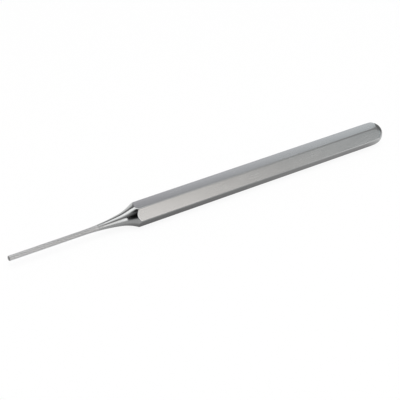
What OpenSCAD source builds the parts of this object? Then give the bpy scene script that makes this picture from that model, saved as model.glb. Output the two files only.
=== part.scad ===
// Pin punch: a hexagonal hand punch with a ground drive pin seated in its turned nose.
// It lies on one flat with its axis along X, the tip of the pin at the low end and the
// striking face at the high end. The origin is on the resting flat, halfway along.
// All lengths are in millimetres.

/* [Overall] */
// Length from the tip of the pin to the striking face
overall_length = 150; // [120:1:200]

/* [Hexagonal shank] */
// Distance across the flats of the bar
across_flats = 8; // [7:0.5:10]
// Radius of the bar's six rounded long edges
edge_radius = 1.1; // [0.2:0.1:1.4]

/* [Turned nose] */
// Radius of the long fillet that carries the pin's side on into the nose
fillet_radius = 77; // [60:1:120]
// Length of the slim nose, from the pin up to the flare
nose_length = 8; // [5:0.5:10]
// Radius of the hollow flare that leads from the nose up to the flats
flare_radius = 17.5; // [12:0.5:30]

/* [Striking head] */
// Diameter of the flat striking face
face_d = 2.5; // [2:0.25:4]
// Radius of the rounded crown around the striking face
crown_radius = 1.3; // [0.6:0.1:2]
// Length of the turned dome, from the bar's long edges to the striking face
head_length = 4.2; // [3:0.1:6]
// Angle at which the dome leaves the bar's long edges
head_angle = 6.5; // [4:0.5:12]

/* [Drive pin] */
// Diameter of the pin's ground working length
pin_d = 1.75; // [1.5:0.05:2.5]
// Length of pin that stands out of the nose
pin_length = 31.5; // [20:0.5:45]
// Length of the pin's root, which widens along the fillet to meet the nose
root_length = 5.5; // [3:0.5:8]
// Radius of the rounded edge of the tip
tip_round = 0.35; // [0.1:0.05:0.5]

/* [Pin seat] */
// Step on the radius from the working length down to the tang
shoulder = 0.2; // [0.1:0.05:0.3]
// Length of the tang inside the shank
tang_length = 16; // [8:1:25]
// Lead-in bevel at the end of the tang
tang_bevel = 0.25; // [0.1:0.05:0.3]
// Gap on the diameter between the tang and its bore
tang_gap = 0.02; // [0:0.01:0.06]
// Depth of bore past the end of the tang
bore_relief = 0.5; // [0.2:0.1:2]

/* [Hidden] */

// One overrun serves all cuts
overrun = 1;
// Angle of the drill that makes the bore
drill_angle = 118;
// Facets of small rounds, and of the long arcs
round_sides = 96;
arc_sides = 360;

// The six-sided bar: each round edge meets its two flats in a faint crease
sides = 6;
side_angle = 360 / sides;
half_angle = side_angle / 2;
crease_angle = 6;
edge_depth = edge_radius * cos(crease_angle);
corner_centre = (across_flats / 2 - edge_depth) / cos(half_angle);
corner_cut = corner_centre + edge_depth * cos(half_angle);
corner_r = corner_centre + edge_radius;
blank_r = corner_r + overrun;

// The pin's root and the nose lie on one long fillet, which starts tangent to the pin
pin_r = pin_d / 2;
fillet_z = pin_length - root_length;
fillet_r = pin_r + fillet_radius;
nose_r = fillet_r - sqrt(pow(fillet_radius, 2) - pow(root_length, 2));

// The flare runs tangent out of the fillet
flare_start = pin_length + nose_length;
flare_turn = asin((flare_start - fillet_z) / fillet_radius);
flare_r = fillet_r - (fillet_radius - flare_radius) * cos(flare_turn);
flare_z = fillet_z + (fillet_radius - flare_radius) * sin(flare_turn);

// The pin's tang and the bore that holds it
tang_r = pin_r - shoulder;
tang_end = pin_length + tang_length;
bore_r = tang_r + tang_gap / 2;
bore_end = tang_end + bore_relief;
drill_point = bore_r / tan(drill_angle / 2);

// The turned head: the dome leaves the bar's long edges and runs tangent into the crown
face_r = face_d / 2;
crown_z = overall_length - crown_radius;
head_start = overall_length - head_length;
dome_depth = corner_r - face_r;
dome_rise = crown_z - head_start;
dome_radius = (pow(dome_depth, 2) + pow(dome_rise, 2) - pow(crown_radius, 2)) / 2
  / (dome_depth * cos(head_angle) - dome_rise * sin(head_angle) - crown_radius);
dome_r = corner_r - dome_radius * cos(head_angle);
dome_z = head_start - dome_radius * sin(head_angle);
crown_turn = acos((face_r - dome_r) / (dome_radius - crown_radius));
crown_start = crown_z + crown_radius * sin(crown_turn);
// The lathe's blank ends where the dome still stands clear of the bar
blank_end = dome_z + dome_radius * sin(head_angle / 2);

// Turns a piece drawn along +Z from its tip into place on its resting flat
module lay_down() {
  translate([-overall_length / 2, 0, across_flats / 2])
    rotate([0, 90, 0])
      children();
}

// Cross-section of the bar, one flat square to X, with its six corners cut back to round edges
module hex_outline() {
  difference() {
    rotate(half_angle)
      circle(d = across_flats / cos(half_angle), $fn = sides);
    for (side = [0 : sides - 1])
      rotate(side * side_angle + half_angle)
        difference() {
          translate([corner_cut, -edge_radius])
            square([edge_radius, 2 * edge_radius]);
          translate([corner_centre, 0])
            circle(r = edge_radius, $fn = round_sides);
        }
  }
}

// The lathe's blank between two places along the axis
module blank(from, to) {
  translate([0, from])
    square([blank_r, to - from]);
}

// The long fillet's circle, which hollows the pin's root and the nose
module fillet() {
  translate([fillet_r, fillet_z])
    circle(r = fillet_radius, $fn = arc_sides);
}

// Lathe outline of the shank: slim nose, flare, plain bar, dome, crown and striking face
module turned_outline() {
  difference() {
    blank(pin_length, flare_start);
    fillet();
  }
  difference() {
    blank(flare_start, blank_end);
    translate([flare_r, flare_z])
      circle(r = flare_radius, $fn = arc_sides);
  }
  intersection() {
    blank(blank_end, crown_start);
    translate([dome_r, dome_z])
      circle(r = dome_radius, $fn = arc_sides);
  }
  intersection() {
    blank(crown_start, overall_length);
    translate([face_r, crown_z])
      circle(r = crown_radius, $fn = round_sides);
  }
  translate([0, blank_end])
    square([face_r, overall_length - blank_end]);
}

// Blind bore for the tang, open at the nose and ending in the drill's point
module tang_bore() {
  rotate_extrude($fn = round_sides)
    polygon([
      [0, pin_length - overrun],
      [bore_r, pin_length - overrun],
      [bore_r, bore_end],
      [0, bore_end + drill_point]
    ]);
}

// Hexagonal bar, turned at the nose and at the head so that the flats end in scallops
module hex_shank() {
  color([0.74, 0.75, 0.75])
    lay_down()
      difference() {
        intersection() {
          linear_extrude(height = overall_length)
            hex_outline();
          rotate_extrude($fn = round_sides)
            turned_outline();
        }
        tang_bore();
      }
}

// Half outline of the pin: rounded tip, ground length, widening root, shoulder and bevelled tang
module pin_outline() {
  difference() {
    polygon([
      [0, 0],
      [pin_r - tip_round, 0],
      [pin_r - tip_round, tip_round],
      [pin_r, tip_round],
      [pin_r, fillet_z],
      [nose_r, pin_length],
      [tang_r, pin_length],
      [tang_r, tang_end - tang_bevel],
      [tang_r - tang_bevel, tang_end],
      [0, tang_end]
    ]);
    fillet();
  }
  translate([pin_r - tip_round, tip_round])
    circle(r = tip_round, $fn = round_sides);
}

// Drive pin: its shoulder bears on the nose and its tang is held in the bore
module drive_pin() {
  color([0.68, 0.68, 0.68])
    lay_down()
      rotate_extrude($fn = round_sides)
        pin_outline();
}

hex_shank();
drive_pin();
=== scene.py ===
import math

import bpy
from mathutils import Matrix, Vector


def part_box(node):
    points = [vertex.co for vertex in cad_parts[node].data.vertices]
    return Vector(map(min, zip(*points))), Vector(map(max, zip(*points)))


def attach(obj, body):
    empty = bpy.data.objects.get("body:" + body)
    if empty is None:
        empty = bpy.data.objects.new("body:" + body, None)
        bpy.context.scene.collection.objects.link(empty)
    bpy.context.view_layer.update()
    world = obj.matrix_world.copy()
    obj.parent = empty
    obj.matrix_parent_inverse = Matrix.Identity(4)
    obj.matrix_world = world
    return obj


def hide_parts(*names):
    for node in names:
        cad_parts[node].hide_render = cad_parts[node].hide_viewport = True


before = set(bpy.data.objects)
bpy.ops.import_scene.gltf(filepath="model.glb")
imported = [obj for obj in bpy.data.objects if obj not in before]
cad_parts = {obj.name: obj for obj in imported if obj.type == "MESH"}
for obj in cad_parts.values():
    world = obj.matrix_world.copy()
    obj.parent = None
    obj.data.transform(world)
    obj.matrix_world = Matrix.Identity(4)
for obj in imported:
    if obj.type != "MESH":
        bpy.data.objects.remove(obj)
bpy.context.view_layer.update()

# Hexagonal shank
# Hardened and plated hexagon steel bar with satin flats. A lathe has turned its polished ends, a slim
# nose with a hollow flare and a domed striking head, and the nose is bored for the drive pin's tang.
shank_low, shank_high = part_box("hex_shank")
nose_x, face_x = shank_low.x, shank_high.x
bar_middle_x = (nose_x + face_x) / 2
across_flats = shank_high.z - shank_low.z
axis_height = (shank_high.z + shank_low.z) / 2
corner_radius = shank_high.y
bar_sides = 6
half_side = math.pi / bar_sides
sharp_corner_radius = across_flats / 2 / math.cos(half_side)

# Belt polishing leaves each flat with a very slight crown, which runs tangent into the round corners
flat_tilt = math.radians(3)
tilt_share = math.tan(flat_tilt / 2)
corner_round = (
    across_flats / 2 - corner_radius * (math.cos(half_side) + tilt_share * math.sin(half_side))
) / (
    math.cos(flat_tilt) - math.cos(half_side)
    - tilt_share * (math.sin(half_side) - math.sin(flat_tilt))
)
corner_centre = corner_radius - corner_round
flat_half_width = corner_centre * math.sin(half_side) + corner_round * math.sin(flat_tilt)
flat_crown_radius = flat_half_width / math.sin(flat_tilt)
flat_crown_centre = flat_crown_radius - across_flats / 2
flat_end_turn = math.atan2(
    flat_half_width, corner_centre * math.cos(half_side) + corner_round * math.cos(flat_tilt)
)

# The fillet starts on the pin, carries on along the nose and runs tangent into the flare
pin_radius = 0.000875
fillet_radius = 0.077
root_length = 0.0055
nose_length = 0.008
flare_radius = 0.0175
fillet_x = nose_x - root_length
fillet_centre_radius = pin_radius + fillet_radius
flare_start_x = nose_x + nose_length
flare_turn = math.asin((flare_start_x - fillet_x) / fillet_radius)
flare_centre_x = fillet_x + (fillet_radius - flare_radius) * math.sin(flare_turn)
flare_centre_radius = fillet_centre_radius - (fillet_radius - flare_radius) * math.cos(flare_turn)

# The dome leaves the bar's long edges and runs tangent into the crown round the striking face
face_radius = 0.00125
crown_radius = 0.0013
head_length = 0.0042
head_angle = math.radians(6.5)
crown_x = face_x - crown_radius
dome_start_x = face_x - head_length
dome_depth = corner_radius - face_radius
dome_rise = crown_x - dome_start_x
dome_radius = (dome_depth**2 + dome_rise**2 - crown_radius**2) / 2 / (
    dome_depth * math.cos(head_angle) - dome_rise * math.sin(head_angle) - crown_radius
)
dome_centre_x = dome_start_x - dome_radius * math.sin(head_angle)
dome_centre_radius = corner_radius - dome_radius * math.cos(head_angle)
crown_turn = math.acos((face_radius - dome_centre_radius) / (dome_radius - crown_radius))
crown_start_x = crown_x + crown_radius * math.sin(crown_turn)

# Ahead of the dome the lathe's outline climbs clear of the bar, which it leaves as it is
dome_lead = 0.002
dome_lead_slope = 0.15
dome_lead_x = dome_centre_x - dome_lead

# The bore is a little wider and deeper than the tang, and ends in the drill's point
tang_radius = 0.000675
tang_gap = 0.00001
bore_radius = tang_radius + tang_gap
bore_relief = 0.0005
bore_end_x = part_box("drive_pin")[1].x + bore_relief
drill_half_angle = math.radians(59)
drill_point = bore_radius / math.tan(drill_half_angle)

# The creases where the lathe crosses the flats are rounded off, and the nose's rim is broken
neck_softness = 0.00014
head_softness = 0.0002
seam_break = 0.00004


def distance_from_axis(point):
    """How far a point lies from the punch's axis."""
    return math.hypot(point.y, point.z - axis_height)


def set_distance_from_axis(point, distance):
    """Moves a point straight out from the axis or in towards it."""
    share = distance / distance_from_axis(point)
    point.y *= share
    point.z = axis_height + (point.z - axis_height) * share


def bar_radius_at(turn):
    """Radius of the polished bar at a turn round its axis from the middle of a flat."""
    off_flat = abs((turn + half_side) % (2 * half_side) - half_side)
    if off_flat < flat_end_turn:
        reach = flat_crown_centre * math.sin(off_flat)
        return math.sqrt(flat_crown_radius**2 - reach**2) - flat_crown_centre * math.cos(off_flat)
    off_corner = half_side - off_flat
    reach = corner_centre * math.sin(off_corner)
    return math.sqrt(corner_round**2 - reach**2) + corner_centre * math.cos(off_corner)


def fillet_height(x):
    """Radius of the long fillet at a place along the axis, on the pin's root and on the nose."""
    return fillet_centre_radius - math.sqrt(fillet_radius**2 - (x - fillet_x) ** 2)


def turned_radius(x):
    """Radius that the lathe leaves at a place along the axis: nose, flare, dome and crown."""
    if x < flare_start_x:
        return fillet_height(x) - max(0, nose_x + seam_break - x)
    if x < bar_middle_x:
        reach = min(x - flare_centre_x, flare_radius)
        return flare_centre_radius - math.sqrt(flare_radius**2 - reach**2)
    if x < dome_centre_x:
        return dome_centre_radius + dome_radius + dome_lead_slope * (dome_centre_x - x)
    if x < crown_start_x:
        return dome_centre_radius + math.sqrt(dome_radius**2 - (x - dome_centre_x) ** 2)
    return face_radius + math.sqrt(max(0, crown_radius**2 - (x - crown_x) ** 2))


def soft_minimum(first, second, softness):
    """The smaller of two radii, with the crease where they cross rounded off."""
    overlap = max(0, softness - abs(first - second))
    return min(first, second) - overlap**2 / softness / 4


def flare_x(radius):
    """Where the flare reaches a radius."""
    return flare_centre_x + math.sqrt(flare_radius**2 - (flare_centre_radius - radius) ** 2)


def dome_x(radius):
    """Where the dome comes down to a radius."""
    return dome_centre_x + math.sqrt(dome_radius**2 - (radius - dome_centre_radius) ** 2)


def places(start, end, count):
    """Evenly spaced places after a start, up to and with an end."""
    return [start + (end - start) * (step + 1) / count for step in range(count)]


# One ring of the bar: a hexagon with its corners rounded and its flats divided. The middle of a round
# bevel stands back from the corner by a fixed share of the bevel's reach
corner_segments = 16
flat_cuts = 23
round_profile = 0.5
round_bevel_share = 1 - math.cos(math.radians(45))
corner_reach = (sharp_corner_radius - corner_radius) / round_bevel_share
bpy.ops.object.select_all(action="DESELECT")
bpy.ops.mesh.primitive_circle_add(
    vertices=bar_sides,
    radius=sharp_corner_radius,
    fill_type="NGON",
    location=(nose_x, 0, axis_height),
    rotation=(0, math.pi / 2, 0),
)
bpy.ops.object.transform_apply(location=True, rotation=True, scale=True)
shank = bpy.context.object
shank.name = "plated_hex_shank"
bpy.ops.object.mode_set(mode="EDIT")
bpy.ops.mesh.select_all(action="SELECT")
bpy.ops.mesh.bevel(
    offset=corner_reach, segments=corner_segments, profile=round_profile, affect="VERTICES"
)
bpy.ops.mesh.select_mode(type="EDGE")
bpy.ops.mesh.select_all(action="DESELECT")
bpy.ops.object.mode_set(mode="OBJECT")
for edge in shank.data.edges:
    start, end = (shank.data.vertices[i].co for i in edge.vertices)
    edge.select = (end - start).length > corner_reach
bpy.ops.object.mode_set(mode="EDIT")
bpy.ops.mesh.subdivide(number_cuts=flat_cuts)
bpy.ops.mesh.select_all(action="SELECT")
bpy.ops.mesh.delete(type="ONLY_FACE")
bpy.ops.object.mode_set(mode="OBJECT")
for vertex in shank.data.vertices:
    turn = math.atan2(vertex.co.y, vertex.co.z - axis_height)
    set_distance_from_axis(vertex.co, bar_radius_at(turn))
bpy.ops.object.mode_set(mode="EDIT")

# The ring is drawn out along the axis, in short steps where the lathe cuts across the flats
scallop_margin = 0.0006
neck_start = flare_x(across_flats / 2) - scallop_margin
neck_end = flare_x(corner_radius) + scallop_margin
dome_end = dome_x(across_flats / 2) + scallop_margin
nose_rings = 20
flare_rings = 20
neck_rings = 44
bar_rings = 12
dome_lead_rings = 6
dome_rings = 32
dome_end_rings = 8
crown_rings = 10
rings = [nose_x + seam_break]
rings += places(rings[-1], flare_start_x, nose_rings)
rings += places(flare_start_x, neck_start, flare_rings)
rings += places(neck_start, neck_end, neck_rings)
rings += places(neck_end, dome_lead_x, bar_rings)
rings += places(dome_lead_x, dome_centre_x, dome_lead_rings)
rings += places(dome_centre_x, dome_end, dome_rings)
rings += places(dome_end, crown_start_x, dome_end_rings)
crown_turns = places(crown_turn, math.pi / 2, crown_rings)
rings += [crown_x + crown_radius * math.sin(turn) for turn in crown_turns]
bpy.ops.mesh.select_all(action="SELECT")
for x, next_x in zip([nose_x, *rings], rings):
    bpy.ops.mesh.extrude_edges_move(TRANSFORM_OT_translate={"value": (next_x - x, 0, 0)})

# The lathe takes off what stands outside the turned outline, and the striking face is closed
bpy.ops.object.mode_set(mode="OBJECT")
for vertex in shank.data.vertices:
    bar_radius = distance_from_axis(vertex.co)
    softness = neck_softness if vertex.co.x < bar_middle_x else head_softness
    radius = soft_minimum(bar_radius, turned_radius(vertex.co.x), softness)
    set_distance_from_axis(vertex.co, radius)
bpy.ops.object.mode_set(mode="EDIT")
bpy.ops.mesh.extrude_edges_move()
bpy.ops.mesh.merge(type="CENTER")

# The nose is faced and bored for the tang
bpy.ops.mesh.select_all(action="DESELECT")
bpy.ops.object.mode_set(mode="OBJECT")
for edge in shank.data.edges:
    edge.select = all(shank.data.vertices[i].co.x < nose_x + seam_break / 2 for i in edge.vertices)
bpy.ops.object.mode_set(mode="EDIT")
bore_share = bore_radius / turned_radius(nose_x)
bpy.ops.mesh.extrude_edges_move()
bpy.ops.transform.resize(
    value=(1, bore_share, bore_share), center_override=(nose_x, 0, axis_height)
)
bpy.ops.mesh.extrude_edges_move(TRANSFORM_OT_translate={"value": (bore_end_x - nose_x, 0, 0)})
bpy.ops.mesh.extrude_edges_move()
bpy.ops.mesh.merge(type="CENTER")
bpy.ops.transform.translate(value=(drill_point, 0, 0))
bpy.ops.mesh.select_all(action="SELECT")
bpy.ops.mesh.normals_make_consistent(inside=False)
bpy.ops.object.mode_set(mode="OBJECT")


def new_material(name):
    """An empty node material and its shader."""
    material = bpy.data.materials.new(name)
    material.use_nodes = True
    return material, material.node_tree.nodes["Principled BSDF"]


def add_node(tree, kind, inputs=None, **settings):
    """Adds a node, sets its options, and sets or links its inputs by name or number."""
    made = tree.nodes.new(kind)
    for key, value in settings.items():
        setattr(made, key, value)
    for key, value in (inputs or {}).items():
        if isinstance(value, bpy.types.NodeSocket):
            tree.links.new(value, made.inputs[key])
        else:
            made.inputs[key].default_value = value
    return made


def place_from_nose(tree):
    """A point's place, counted from the centre of the nose's end."""
    point = add_node(tree, "ShaderNodeTexCoord").outputs["Object"]
    return add_node(
        tree, "ShaderNodeVectorMath", {0: point, 1: (nose_x, 0, axis_height)}, operation="SUBTRACT"
    ).outputs[0]


def part_of(tree, place, axis):
    """How far a place lies along one axis."""
    return add_node(tree, "ShaderNodeSeparateXYZ", {0: place}).outputs[axis]


def radius_of(tree, place):
    """How far a place lies from the punch's axis."""
    across = add_node(
        tree, "ShaderNodeVectorMath", {0: place, 1: (0, 1, 1)}, operation="MULTIPLY"
    ).outputs[0]
    return add_node(tree, "ShaderNodeVectorMath", {0: across}, operation="LENGTH").outputs["Value"]


def marks(tree, place, per_metre, detail):
    """Uneven marks, with about so many of them per metre along each axis."""
    spread = add_node(
        tree, "ShaderNodeVectorMath", {0: place, 1: per_metre}, operation="MULTIPLY"
    ).outputs[0]
    return add_node(
        tree, "ShaderNodeTexNoise", {"Vector": spread, "Scale": 1.0, "Detail": detail}
    ).outputs["Fac"]


def carry_over(tree, value, old_range, new_range):
    """Carries a value over from one range to another, easing in and out of both ends."""
    return add_node(
        tree,
        "ShaderNodeMapRange",
        {
            "Value": value,
            "From Min": old_range[0],
            "From Max": old_range[1],
            "To Min": new_range[0],
            "To Max": new_range[1],
        },
        interpolation_type="SMOOTHSTEP",
    ).outputs["Result"]


def reckon(tree, operation, first, second):
    """The sum, product or other result of two values."""
    return add_node(tree, "ShaderNodeMath", {0: first, 1: second}, operation=operation).outputs[0]


def blend_colours(tree, share, first, second):
    """A colour between two others."""
    mixed = add_node(tree, "ShaderNodeMix", {"Factor": share}, data_type="RGBA")
    for name, colour in (("A", first), ("B", second)):
        socket = next(s for s in mixed.inputs if s.name == name and s.type == "RGBA")
        if isinstance(colour, bpy.types.NodeSocket):
            tree.links.new(colour, socket)
        else:
            socket.default_value = (*colour, 1)
    return next(s for s in mixed.outputs if s.type == "RGBA")


def emboss(tree, shader, height, depth):
    """Stands a height pattern of a real depth on a shader's surface."""
    bump = add_node(tree, "ShaderNodeBump", {"Height": height, "Strength": 1.0, "Distance": depth})
    tree.links.new(bump.outputs[0], shader.inputs["Normal"])


# Uneven marks keep mostly to the first range. The second, closer one gives them more contrast
marks_range = (0.3, 0.7)
close_marks_range = (0.35, 0.65)

# Flats: faint belt-polishing lines and slow waves under the plating, rubbed bright on the long edges
satin_dark = (0.715, 0.722, 0.722)
satin_light = (0.735, 0.742, 0.742)
belt_lines_per_metre = (30, 4000, 4000)
belt_clouds_per_metre = (110, 420, 420)
waves_per_metre = (120, 200, 200)
half_satin_roughness = (0.11, 0.14)
rub_start_depth = 0.00013
rub_full_depth = 0.00005
rub_roughness_change = -0.1
wave_depth = 0.00003
belt_line_share = 0.01
satin_plate, shader = new_material("satin_plate")
tree = satin_plate.node_tree
place = place_from_nose(tree)
belt_lines = marks(tree, place, belt_lines_per_metre, detail=3)
clouds = marks(tree, place, belt_clouds_per_metre, detail=3)
waves = marks(tree, place, waves_per_metre, detail=1)
rubbed_radii = (corner_radius - rub_start_depth, corner_radius - rub_full_depth)
rub_and_painted_light = carry_over(tree, radius_of(tree, place), rubbed_radii, (0, 1))
sheen = reckon(
    tree,
    "ADD",
    carry_over(tree, belt_lines, marks_range, half_satin_roughness),
    carry_over(tree, clouds, marks_range, half_satin_roughness),
)
worn_smooth = reckon(tree, "MULTIPLY", rub_and_painted_light, rub_roughness_change)
tree.links.new(reckon(tree, "ADD", sheen, worn_smooth), shader.inputs["Roughness"])
cloud_share = carry_over(tree, clouds, close_marks_range, (0, 1))
plate_colour = blend_colours(tree, cloud_share, satin_dark, satin_light)
tree.links.new(plate_colour, shader.inputs["Base Color"])
shader.inputs["Metallic"].default_value = 1
belt_height = reckon(tree, "MULTIPLY", belt_lines, belt_line_share)
emboss(tree, shader, reckon(tree, "ADD", waves, belt_height), wave_depth)

# Turned ends: fine lathe rings left under the polish, which dulls to the ground finish by the pin
polish_dark = (0.72, 0.73, 0.73)
polish_light = (0.76, 0.77, 0.77)
lathe_rings_per_metre = (3200, 60, 60)
polish_clouds_per_metre = (300, 500, 500)
polish_roughness = (0.07, 0.11)
dull_lengths = (0.0002, 0.0042)
dull_roughness = 0.33
lathe_ring_depth = 0.0000004
polished_plate, shader = new_material("polished_plate")
tree = polished_plate.node_tree
place = place_from_nose(tree)
lathe_rings = marks(tree, place, lathe_rings_per_metre, detail=2)
clouds = marks(tree, place, polish_clouds_per_metre, detail=3)
dull_by_pin = carry_over(tree, part_of(tree, place, "X"), dull_lengths, (1, 0))
sheen = carry_over(tree, clouds, marks_range, polish_roughness)
roughness = reckon(tree, "ADD", sheen, reckon(tree, "MULTIPLY", dull_by_pin, dull_roughness))
tree.links.new(roughness, shader.inputs["Roughness"])
ring_share = carry_over(tree, lathe_rings, close_marks_range, (0, 1))
plate_colour = blend_colours(tree, ring_share, polish_dark, polish_light)
tree.links.new(plate_colour, shader.inputs["Base Color"])
shader.inputs["Metallic"].default_value = 1
emboss(tree, shader, lathe_rings, lathe_ring_depth)

# The faces of the bar run along the axis and lie outside the turned ends
bar_slope_limit = 0.02
bar_radius_share = 0.97
shank.data.materials.append(satin_plate)
shank.data.materials.append(polished_plate)
for face in shank.data.polygons:
    is_level = abs(face.normal.x) < bar_slope_limit
    is_outside = distance_from_axis(face.center) > bar_radius_share * across_flats / 2
    face.material_index = 0 if is_level and is_outside else 1

smooth_angle = math.radians(32)
bpy.ops.object.shade_smooth_by_angle(angle=smooth_angle)
bpy.ops.object.modifier_add(type="WEIGHTED_NORMAL")
shank.modifiers[-1].keep_sharp = True
bpy.ops.object.modifier_apply(modifier=shank.modifiers[-1].name)

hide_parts("hex_shank")
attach(shank, "root")

# Drive pin
# A length of hardened silver steel, ground to size between two wheels, with a rounded tip. It widens
# at its root to meet the nose, and its thinner tang is pressed into the nose's bore up to the shoulder.
tip_x, tang_end_x = (corner.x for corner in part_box("drive_pin"))
tip_round = 0.00035
tip_rings = 8
root_rings = 16
tang_bevel = 0.00025
pin_steps = 72
merge_distance = 0.0000001


def spin_outline(name, outline, steps):
    """Draws an outline of (x, radius) points vertex by vertex and spins it round the punch's axis."""
    bpy.ops.object.select_all(action="DESELECT")
    bpy.ops.mesh.primitive_plane_add(size=across_flats)
    piece = bpy.context.object
    piece.name = name
    bpy.ops.object.mode_set(mode="EDIT")
    bpy.ops.mesh.select_mode(type="VERT")
    bpy.ops.mesh.merge(type="CENTER")
    first_x, first_radius = outline[0]
    bpy.ops.transform.translate(value=(first_x, 0, axis_height + first_radius))
    for (x, radius), (next_x, next_radius) in zip(outline, outline[1:]):
        step = (next_x - x, 0, next_radius - radius)
        bpy.ops.mesh.extrude_vertices_move(TRANSFORM_OT_translate={"value": step})
    bpy.ops.mesh.select_all(action="SELECT")
    bpy.ops.mesh.spin(steps=steps, angle=math.tau, center=(0, 0, axis_height), axis=(1, 0, 0))
    bpy.ops.mesh.select_all(action="SELECT")
    bpy.ops.mesh.remove_doubles(threshold=merge_distance)
    bpy.ops.mesh.normals_make_consistent(inside=False)
    bpy.ops.object.mode_set(mode="OBJECT")
    return piece


outline = [(tip_x, 0)]
for turn in [0, *places(0, math.pi / 2, tip_rings)]:
    outline.append((
        tip_x + tip_round * (1 - math.cos(turn)),
        pin_radius - tip_round * (1 - math.sin(turn)),
    ))
for x in [fillet_x, *places(fillet_x, nose_x - seam_break, root_rings)]:
    outline.append((x, fillet_height(x)))
outline += [
    (nose_x, fillet_height(nose_x) - seam_break),
    (nose_x, tang_radius),
    (tang_end_x - tang_bevel, tang_radius),
    (tang_end_x, tang_radius - tang_bevel),
    (tang_end_x, 0),
]
pin = spin_outline("ground_drive_pin", outline, pin_steps)

# The grinding wheels leave slanting marks, which wind round the pin in several starts. Painted light
# makes the pin lighter towards its tip and along its root, and painted shade darkens the end of its tip
ground_dark = (0.69, 0.69, 0.69)
ground_light = (0.93, 0.93, 0.93)
# Lighter copies of the ground colours, for the painted light towards the tip and along the root
painted_lit_dark = (0.77, 0.77, 0.77)
painted_lit_light = (0.98, 0.98, 0.98)
# Painted shade for the end of the tip
tip_end_shade_grey = (0.52, 0.52, 0.52)
painted_lit_tip_lengths = (-0.026, -0.012)
painted_lit_root_lengths = (-root_length, 0)
tip_end_shade_start = 0.0002
tip_end_shade_finish = 0.0005
unevenness_per_metre = (700, 1400, 1400)
fine_pitch = 0.0006
fine_starts = 18
coarse_pitch = 0.0015
coarse_starts = 7
wander_angle = 9
grinding_strengths = (0.3, 1)
grinding_range = (-1.4, 1.4)
ground_roughness = (0.52, 0.4)
grinding_depth = 0.000004
ground_steel, shader = new_material("ground_steel")
tree = ground_steel.node_tree
place = place_from_nose(tree)
along = part_of(tree, place, "X")
turn = reckon(tree, "ARCTAN2", part_of(tree, place, "Y"), part_of(tree, place, "Z"))
unevenness = marks(tree, place, unevenness_per_metre, detail=3)


def winding_marks(pitch, starts):
    """Marks that wind round the pin, a pitch apart along it and wandering a little."""
    along_share = reckon(tree, "MULTIPLY", along, math.tau / pitch)
    round_share = reckon(tree, "MULTIPLY", turn, starts)
    wander = reckon(tree, "MULTIPLY", unevenness, wander_angle)
    winding = reckon(tree, "ADD", reckon(tree, "ADD", along_share, round_share), wander)
    return reckon(tree, "SINE", winding, 0)


fine_marks = winding_marks(fine_pitch, fine_starts)
grinding = reckon(tree, "ADD", fine_marks, winding_marks(coarse_pitch, coarse_starts))
grinding_strength = carry_over(tree, unevenness, close_marks_range, grinding_strengths)
grinding = reckon(tree, "MULTIPLY", grinding, grinding_strength)
grinding_share = carry_over(tree, grinding, grinding_range, (0, 1))
# Painted light: a share that lightens the pin's colour towards its tip and along its root
rub_and_painted_light = reckon(
    tree,
    "ADD",
    carry_over(tree, along, painted_lit_tip_lengths, (1, 0)),
    carry_over(tree, along, painted_lit_root_lengths, (0, 1)),
)
ground_colour = blend_colours(
    tree,
    rub_and_painted_light,
    blend_colours(tree, grinding_share, ground_dark, ground_light),
    blend_colours(tree, grinding_share, painted_lit_dark, painted_lit_light),
)
# Painted shade: the colour darkens at the tip's end and fades out half a millimetre from it
tip_end_shade_lengths = (tip_x - nose_x + tip_end_shade_start, tip_x - nose_x + tip_end_shade_finish)
tip_end_shade = carry_over(tree, along, tip_end_shade_lengths, (1, 0))
ground_colour = blend_colours(tree, tip_end_shade, ground_colour, tip_end_shade_grey)
tree.links.new(ground_colour, shader.inputs["Base Color"])
roughness = carry_over(tree, grinding, grinding_range, ground_roughness)
tree.links.new(roughness, shader.inputs["Roughness"])
shader.inputs["Metallic"].default_value = 1
emboss(tree, shader, fine_marks, grinding_depth)

pin.data.materials.append(ground_steel)
bpy.ops.object.shade_smooth_by_angle(angle=smooth_angle)
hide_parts("drive_pin")
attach(pin, "root")

# Floor
# A plain white sheet under the punch, wide enough to fill the view. Most of its white is its own,
# for what the camera and the metal see of it, so that it shows only a faint shadow.
floor_size = 4
floor_white = (0.98, 0.98, 0.98, 1)
floor_white_share = 0.9


def seen_share(tree, share):
    """A share for rays from the camera, from gloss and through glass, and none for other rays."""
    rays = add_node(tree, "ShaderNodeLightPath")
    seen = rays.outputs["Is Camera Ray"]
    for kind in ("Is Glossy Ray", "Is Transmission Ray"):
        seen = reckon(tree, "MAXIMUM", seen, rays.outputs[kind])
    return reckon(tree, "MULTIPLY", seen, share)


bpy.ops.object.select_all(action="DESELECT")
bpy.ops.mesh.primitive_plane_add(size=floor_size)
floor = bpy.context.object
floor.name = "floor"
floor_paint, shader = new_material("floor_paint")
tree = floor_paint.node_tree
shader.inputs["Base Color"].default_value = floor_white
shader.inputs["Roughness"].default_value = 1
shader.inputs["Specular IOR Level"].default_value = 0
own_white = add_node(tree, "ShaderNodeEmission", {"Strength": 1.0})
mixed = add_node(
    tree,
    "ShaderNodeMixShader",
    {0: seen_share(tree, floor_white_share), 1: shader.outputs[0], 2: own_white.outputs[0]},
)
tree.links.new(mixed.outputs[0], tree.nodes["Material Output"].inputs["Surface"])
floor.data.materials.append(floor_paint)

# Studio
# A soft dome of light with a softbox overhead, and cards round the punch and on the floor that only the
# metal's reflections show: pale in front, grey behind and at the sides and nearly black at the camera.
scene = bpy.context.scene
scene.view_settings.view_transform = "Standard"
dome_share = 0.5
world = bpy.data.worlds.new("studio_dome")
scene.world = world
world.use_nodes = True
tree = world.node_tree
dome = tree.nodes["Background"]
dome.inputs["Color"].default_value = (1, 1, 1, 1)
level = reckon(tree, "ADD", seen_share(tree, 1 - dome_share), dome_share)
tree.links.new(level, dome.inputs["Strength"])

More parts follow.
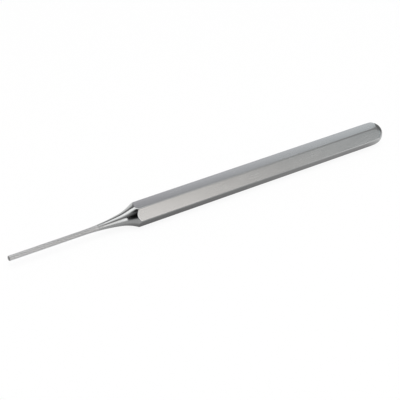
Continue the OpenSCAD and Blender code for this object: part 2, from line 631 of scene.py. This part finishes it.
card_glow, shader = new_material("card_glow")
tree = card_glow.node_tree
glow = add_node(tree, "ShaderNodeAttribute", attribute_name="glow")
lit = add_node(tree, "ShaderNodeEmission", {"Color": glow.outputs["Color"], "Strength": 1.0})
tree.links.new(lit.outputs[0], tree.nodes["Material Output"].inputs["Surface"])
neutral = Vector((1, 1, 1))
warm = Vector((1.06, 1, 0.955))
cool = Vector((0.94, 1, 1.02))
violet = Vector((1.02, 1, 1.06))
card_distance = 1.5
card_columns = 36
card_rows = 12


def make_card(name, columns, rows, place_and_glow):
    """A card for the reflections alone, with each point's place and glow worked out from its shares."""
    bpy.ops.object.select_all(action="DESELECT")
    bpy.ops.mesh.primitive_grid_add(x_subdivisions=columns, y_subdivisions=rows, size=1)
    card = bpy.context.object
    card.name = name
    shades = card.data.attributes.new("glow", "FLOAT_COLOR", "POINT")
    for index, vertex in enumerate(card.data.vertices):
        vertex.co, glow = place_and_glow(vertex.co.x + 1 / 2, vertex.co.y + 1 / 2)
        shades.data[index].color = (*glow, 1)
    card.data.materials.append(card_glow)
    card.visible_camera = False
    card.visible_diffuse = False
    card.visible_shadow = False


def between(share, ends):
    """The value, or tint, at a share of the way from one end to the other."""
    return ends[0] + share * (ends[1] - ends[0])


def eased(value, start, end):
    """How far a value has come from a start to an end, easing in and out."""
    share = min(1, max(0, (value - start) / (end - start)))
    return share * share * (3 - 2 * share)


def hang_card(
    name, azimuths, elevations, low_glows, high_glows,
    tints=(neutral, neutral), distance=card_distance, centre_x=0,
):
    """Hangs a curved card between two azimuths, counted from -Y towards +X, and two elevations.

    The glows are those at its two lower and its two upper corners, and the tints those at its ends.
    """

    def place_and_glow(across, up):
        azimuth = math.radians(between(across, azimuths))
        elevation = math.radians(between(up, elevations))
        place = distance * Vector((
            math.sin(azimuth) * math.cos(elevation),
            -math.cos(azimuth) * math.cos(elevation),
            math.sin(elevation),
        ))
        glow = between(up, (between(across, low_glows), between(across, high_glows)))
        return place + Vector((centre_x, 0, axis_height)), glow * between(across, tints)

    make_card(name, card_columns, card_rows, place_and_glow)


# Edges that cards share, in degrees: azimuths from the left, by the camera, to the back, then elevations
left_edge = -97
side_edge = -64
corner_edge = -30
front_top_edge = -18.5
front_edge = -15
front_middle = 0
right_edge = 24.5
right_bend = 40
right_top_bend = 44
head_edge = 72
back_edge = 128
back_left_edge = 162
horizon = -1
foot_top = 11
corner_top = 38
side_top = 56
front_foot = 4
front_bend = 25
front_top = 30
front_crest = 46
right_crest = 57
back_bend = 28
left_bend = 20
left_crest = 36

# The room is grey, and dark behind the camera
room_distance = 3
room_grey = 0.28
room_greys = (room_grey, room_grey)
camera_side = (left_edge, side_edge)
camera_corner = (side_edge, corner_edge)
camera_end = (corner_edge, front_edge)
hang_card("room", (-180, 180), (horizon, 90), room_greys, room_greys, distance=room_distance)
hang_card("camera_side", camera_side, (horizon, side_top), (0.02, 0.02), (0.025, 0.025))
hang_card("camera_side_top", camera_side, (side_top, 67), (0.03, 0.03), room_greys)
hang_card("camera_foot", camera_corner, (horizon, foot_top), (0.05, 0.06), (0.002, 0.002))
hang_card("camera_foot_end", camera_end, (horizon, foot_top), (0.06, 0.1), (0.002, 0.05))
hang_card("camera_corner", camera_corner, (foot_top, corner_top), (0.002, 0.002), (0.006, 0.006))
hang_card("camera_corner_end", camera_end, (foot_top, corner_top), (0.002, 0.05), (0.006, 0.05))
hang_card("above_camera", (side_edge, front_top_edge), (corner_top, 66), (0.006, 0.03), (0.22, 0.24))

# A pale card stands in front, under a dark gap. Its left rim is nearer than the camera's cards
rim_distance = 1.45
front_left = (front_edge, front_middle)
front_right = (front_middle, right_edge)
front_width = (front_top_edge, right_edge)
front_height = (front_foot, front_top)
rim_top = (front_bend, front_crest)
hang_card("front_left", front_left, front_height, (1.15, 0.88), (1.15, 0.88))
hang_card("front_right", front_right, front_height, (0.94, 1.02), (0.82, 0.88), (neutral, warm))
hang_card("front_top", front_width, (front_top, front_crest), (1, 0.9), (0.32, 0.45), (neutral, warm))
hang_card("front_gap", (front_top_edge, 8), (front_crest, 64), (0.2, 0.2), (0.16, 0.16))
hang_card(
    "front_edge", (-16, front_edge), (12, front_bend), (1.15, 1.15), (1.1, 1.1),
    distance=rim_distance,
)
hang_card(
    "front_edge_top", (front_top_edge, front_edge), rim_top, (1.1, 1.1), (0.34, 0.34),
    distance=rim_distance,
)

# Greys stand on the right, darkest at the striking head, and paler ones behind and on the left
right_height = (horizon, front_top)
right_upper = (front_top, right_crest)
back_width = (back_edge, back_left_edge)
left_width = (back_left_edge, left_edge + 360)
hang_card("right_near", (right_edge, right_bend), right_height, (0.42, 0.4), (0.42, 0.4), (warm, cool))
hang_card("right_far", (right_bend, head_edge), right_height, (0.4, 0.38), (0.4, 0.38), (cool, cool))
hang_card("right_top", (right_edge, right_top_bend), right_upper, (0.85, 0.27), (0.6, 0.3), (warm, cool))
hang_card("right_wall", (right_top_bend, back_edge), right_upper, (0.27, 0.24), (0.3, 0.26))
hang_card("head_card", (head_edge, back_edge), right_height, (0.15, 0.15), (0.15, 0.15))
hang_card("back_card", back_width, (horizon, back_bend), (0.76, 0.54), (0.73, 0.58), (cool, violet))
hang_card("back_top", back_width, (back_bend, 47), (0.73, 0.58), (0.32, 0.24), (cool, violet))
hang_card("left_card", left_width, (horizon, left_bend), (0.68, 0.68), (0.58, 0.58))
hang_card("left_middle", left_width, (left_bend, left_crest), (0.56, 0.56), (0.14, 0.14))
hang_card("left_top", left_width, (left_crest, 50), (0.14, 0.14), (0.14, 0.14))

# Two small dark cards stand close to the striking head
near_distance = 0.05
hang_card(
    "end_card", (86, 132), (-4, 37), (0.15, 0.15), (0.15, 0.15),
    distance=near_distance, centre_x=dome_start_x,
)
hang_card(
    "end_top", (38, 66), (21, 52), (0.23, 0.2), (0.23, 0.2),
    distance=near_distance, centre_x=dome_start_x,
)

# The softbox, as the metal mirrors it, lies square to the camera. It dims towards it and towards the head
overhead_height = 1.5
overhead_depths = (-0.7, 0.63)
overhead_widths = (-1.95, 1.35)
overhead_glows = (1.1, 0.25)
dim_depth = -0.15
dim_width = -0.4
overhead_columns = 36
overhead_rows = 24
camera_azimuth = math.radians(-29.9)
to_camera = Vector((math.sin(camera_azimuth), -math.cos(camera_azimuth), 0))
across_view = Vector((math.cos(camera_azimuth), math.sin(camera_azimuth), 0))


def overhead(across, up):
    """Place and glow of a point on the mirrored softbox."""
    width = between(across, overhead_widths)
    depth = between(up, overhead_depths)
    glow = between(eased(width, dim_width, overhead_widths[1]), overhead_glows)
    glow = between(eased(depth, dim_depth, overhead_depths[1]), (glow, room_grey))
    place = depth * to_camera + width * across_view + Vector((0, 0, overhead_height))
    return place, glow * neutral


make_card("overhead_card", overhead_columns, overhead_rows, overhead)

# A card on the floor that only the metal's reflections show holds a painted shadow of the punch, deepest
# under the bar next to the flare
floor_lengths = (-0.12, 0.086)
floor_depths = (-0.06, 0.012)
floor_card_gap = 0.00002
under_bar_glows = (0.17, 0.28)
under_head_glow = 0.3
under_head_lengths = (0.067, 0.077)
under_nose_glow = 0.22
under_nose_lengths = (0, 0.012)
under_pin_glow = 0.1
pin_lengths = (-0.002, 0.01)
bar_front_glows = (0.36, 0.56)
bar_front_lengths = (0.015, 0.075)
pin_front_glow = 0.14
open_floor_glow = 0.6
open_floor_depths = (0.008, 0.06)
shade_edge_depths = (0.0035, 0.0065)
floor_columns = 150
floor_rows = 80


def shaded_floor(across, up):
    """Place and glow of a point on the painted floor shadow, close to the punch."""
    x = between(across, floor_lengths)
    y = between(up, floor_depths)
    by_nose = eased(neck_end - x, *under_nose_lengths)
    by_pin = eased(nose_x - x, *pin_lengths)
    by_head = eased(x, *under_head_lengths)
    under = between(eased(x, neck_end, dome_start_x), under_bar_glows)
    under += under_head_glow * by_head + under_nose_glow * by_nose + under_pin_glow * by_pin
    in_front = between(eased(x, *bar_front_lengths), bar_front_glows) + pin_front_glow * by_pin
    in_front = between(eased(-y, *open_floor_depths), (in_front, open_floor_glow))
    glow = between(eased(-y, *shade_edge_depths), (under, in_front))
    return Vector((x, y, floor_card_gap)), glow * neutral


make_card("floor_card", floor_columns, floor_rows, shaded_floor)

# Fans that spread over that card from a place under the punch carry its painted shade outwards. It
# deepens towards the camera and beyond the striking head, and pales behind
fan_reach = 1.5
fan_columns = 24
fan_rows = 40


def spread_on_floor(name, centre_x, azimuths, start, glows, fade_distances):
    """Spreads a fan-shaped card on the floor, whose glow changes from one to another going outwards."""

    def place_and_glow(across, up):
        azimuth = math.radians(between(across, azimuths))
        distance = start * (fan_reach / start) ** up
        place = distance * Vector((math.sin(azimuth), -math.cos(azimuth), 0))
        fade = eased(math.log(distance), *map(math.log, fade_distances))
        return place + Vector((centre_x, 0, 2 * floor_card_gap)), between(fade, glows) * neutral

    make_card(name, fan_columns, fan_rows, place_and_glow)


spread_on_floor("camera_floor", neck_end, (side_edge, front_edge), 0.02, (0.3, 0.06), (0.025, 0.25))
spread_on_floor("back_floor", neck_end, (140, 225), 0.01, (0.66, 0.75), (0.02, 0.2))
spread_on_floor("head_side_floor", dome_start_x, (40, 88), 0.008, (0.6, 0.34), (0.01, 0.04))
spread_on_floor("head_end_floor", dome_start_x, (88, 142), 0.008, (0.6, 0.17), (0.01, 0.03))

# The softbox's light comes from above and a little to the front, and has no reflection of its own
softbox_place = Vector((0, -0.3, 1.2))
softbox_size = 0.9
softbox_watts = 9.4
softbox = bpy.data.lights.new("softbox", "AREA")
softbox.shape = "SQUARE"
softbox.size = softbox_size
softbox.energy = softbox_watts
softbox_object = bpy.data.objects.new("softbox", softbox)
softbox_object.location = softbox_place
softbox_object.rotation_euler = softbox_place.to_track_quat("Z", "Y").to_euler()
softbox_object.visible_glossy = False
scene.collection.objects.link(softbox_object)

# Camera
# A camera with a long lens, in front of the punch and towards its tip. It looks down from a little
# over two of the punch's lengths away.
camera_elevation = math.radians(37.23)
camera_distance = 0.32809
camera_target = Vector((-0.0063, -0.0037, axis_height))
camera_back = Vector((
    math.sin(camera_azimuth) * math.cos(camera_elevation),
    -math.cos(camera_azimuth) * math.cos(camera_elevation),
    math.sin(camera_elevation),
))
lens_length = 85.3
sensor_width = 36
nearest_seen = 0.01
camera_data = bpy.data.cameras.new("camera")
camera_data.lens = lens_length
camera_data.sensor_width = sensor_width
camera_data.clip_start = nearest_seen
camera = bpy.data.objects.new("camera", camera_data)
camera.location = camera_target + camera_distance * camera_back
camera.rotation_mode = "QUATERNION"
camera.rotation_quaternion = camera_back.to_track_quat("Z", "Y")
scene.collection.objects.link(camera)
scene.camera = camera

bpy.context.view_layer.update()
